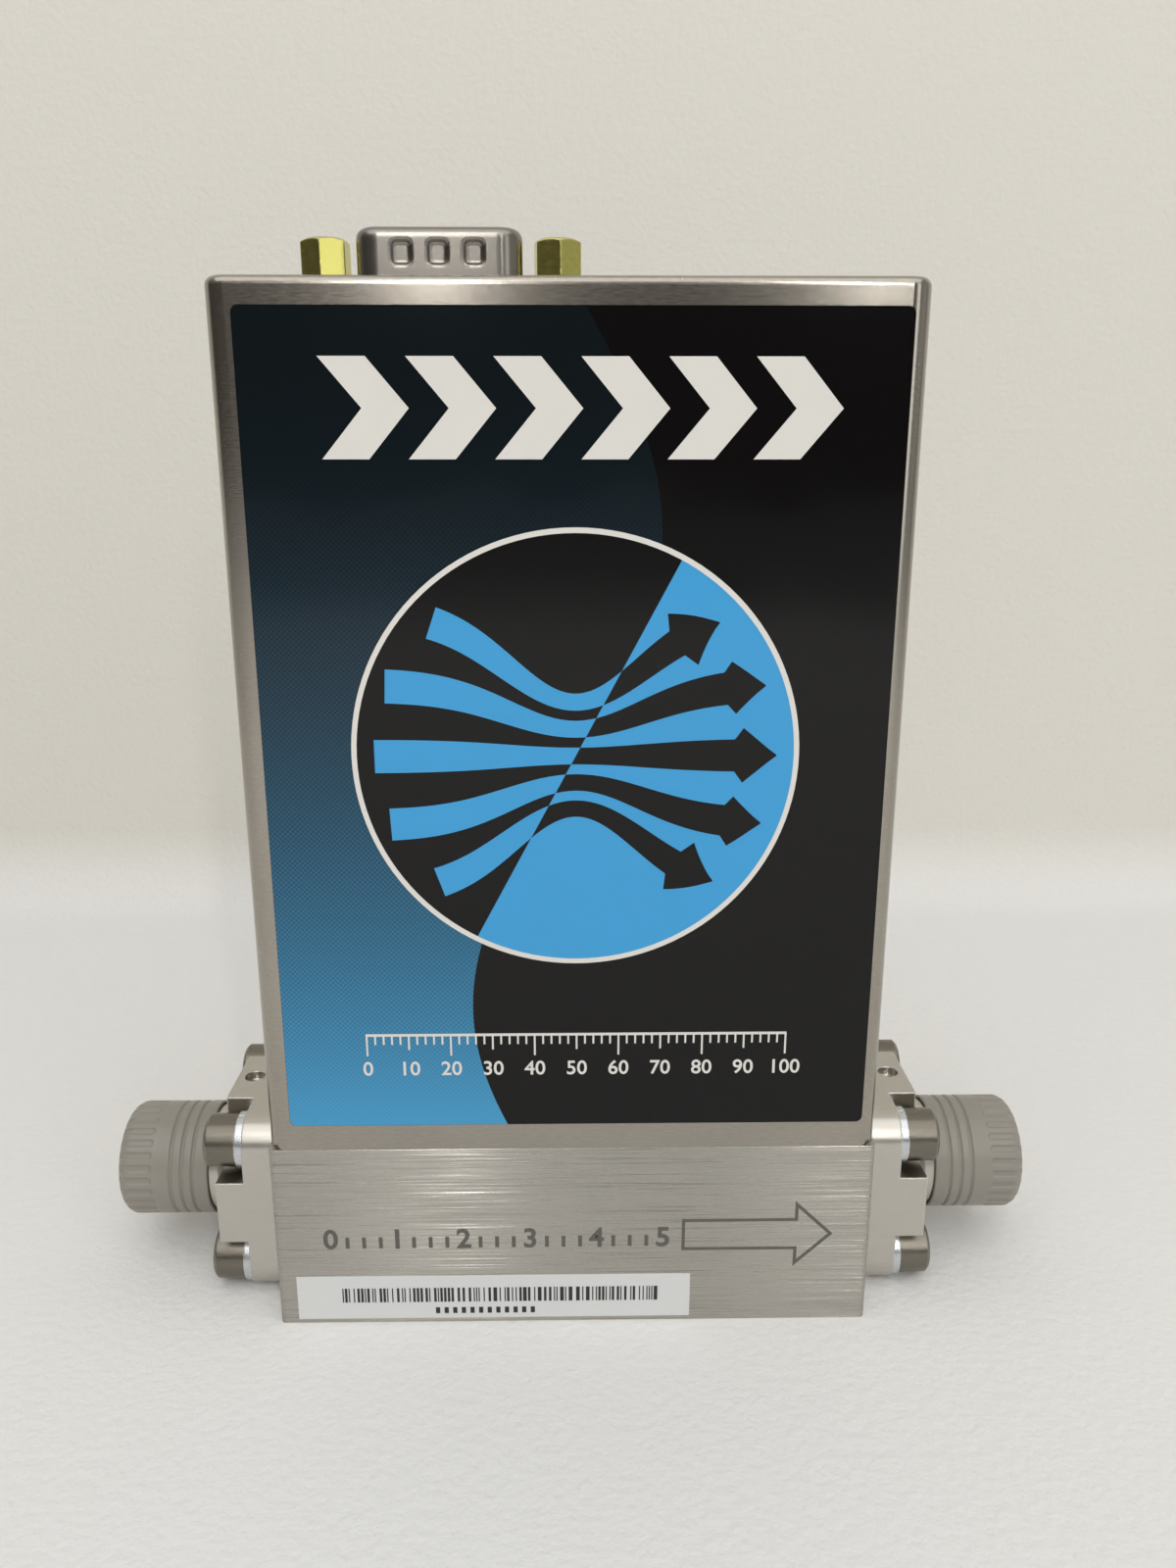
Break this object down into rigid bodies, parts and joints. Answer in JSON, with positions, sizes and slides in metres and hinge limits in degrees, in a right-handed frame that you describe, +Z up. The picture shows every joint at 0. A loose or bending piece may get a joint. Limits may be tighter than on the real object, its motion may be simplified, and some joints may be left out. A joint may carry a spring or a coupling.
{
  "type": "mass flow controller",
  "caption": "Thermal mass flow controller for process gas: a tall steel case on a drilled flow body, with capped face-seal fittings at both ends and a pin connector on top.",
  "frame": {"origin": "centre of the flow body's base", "axes": "+X along the gas flow towards the outlet, front face towards -Y, +Z up"},
  "size_m": [0.1278, 0.0383, 0.1321],
  "materials": {
    "body_steel": "satin",
    "case_steel": "satin",
    "label_film": "gloss",
    "sticker_paper": "matte",
    "fitting_steel": "satin",
    "screw_steel": "satin",
    "washer_steel": "gloss",
    "seal_nickel": "satin",
    "cap_plastic": "satin",
    "shell_tin": "gloss",
    "insulator_plastic": "satin",
    "pin_gold": "gloss",
    "yellow_zinc": "gloss",
    "board_laminate": "satin",
    "chip_plastic": "matte",
    "capacitor_sleeve": "gloss",
    "header_plastic": "matte",
    "seal_rubber": "matte",
    "winding_copper": "satin",
    "sensor_aluminium": "satin",
    "plunger_steel": "satin",
    "lead_sheath": "satin"
  },
  "bodies": {
    "controller": {"board_bracket": "fitting_steel", "board_capacitors": "capacitor_sleeve", "board_chips": "chip_plastic", "board_header": "header_plastic", "board_screws": "washer_steel", "body_sticker": "sticker_paper", "bracket_screws": "washer_steel", "bypass_element": "fitting_steel", "bypass_retainer": "fitting_steel", "case_cover": "case_steel", "circuit_board": "board_laminate", "coil_bobbin": "insulator_plastic", "coil_can": "plunger_steel", "coil_leads": "lead_sheath", "coil_washer": "plunger_steel", "coil_winding": "winding_copper", "connector_insulator": "insulator_plastic", "connector_pins": "pin_gold", "connector_shell": "shell_tin", "flow_body": "body_steel", "front_label": "label_film", "inlet_fitting": "fitting_steel", "inlet_screws": "screw_steel", "inlet_seal": "seal_nickel", "inlet_washers": "washer_steel", "jackscrew_nuts": "yellow_zinc", "jackscrews": "yellow_zinc", "outlet_fitting": "fitting_steel", "outlet_screws": "screw_steel", "outlet_seal": "seal_nickel", "outlet_washers": "washer_steel", "plunger_spring": "fitting_steel", "sensor_base": "fitting_steel", "sensor_cover": "sensor_aluminium", "sensor_leads": "lead_sheath", "sensor_screws": "screw_steel", "sensor_seals": "seal_rubber", "sensor_tube": "fitting_steel", "sensor_windings": "winding_copper", "valve_nut": "fitting_steel", "valve_pole": "plunger_steel", "valve_screws": "screw_steel", "valve_seal": "seal_nickel", "valve_seat": "fitting_steel", "valve_stem": "fitting_steel"},
    "inlet_thread_cap": {"inlet_cap": "cap_plastic"},
    "outlet_thread_cap": {"outlet_cap": "cap_plastic"},
    "plunger": {"valve_plunger": "plunger_steel", "plunger_disc": "seal_rubber"}
  },
  "joints": [
    {"name": "inlet_cap_pull", "type": "slide", "parent": "controller", "child": "inlet_thread_cap", "axis": [-1, 0, 0], "range_m": [0, 0.016]},
    {"name": "outlet_cap_pull", "type": "slide", "parent": "controller", "child": "outlet_thread_cap", "axis": [1, 0, 0], "range_m": [0, 0.016]},
    {"name": "plunger_lift", "type": "slide", "parent": "controller", "child": "plunger", "axis": [0, 0, 1], "range_m": [0, 0.0003], "stiffness_N_per_m": 1500, "springref_m": -0.001, "deforming": ["plunger_spring"]}
  ]
}
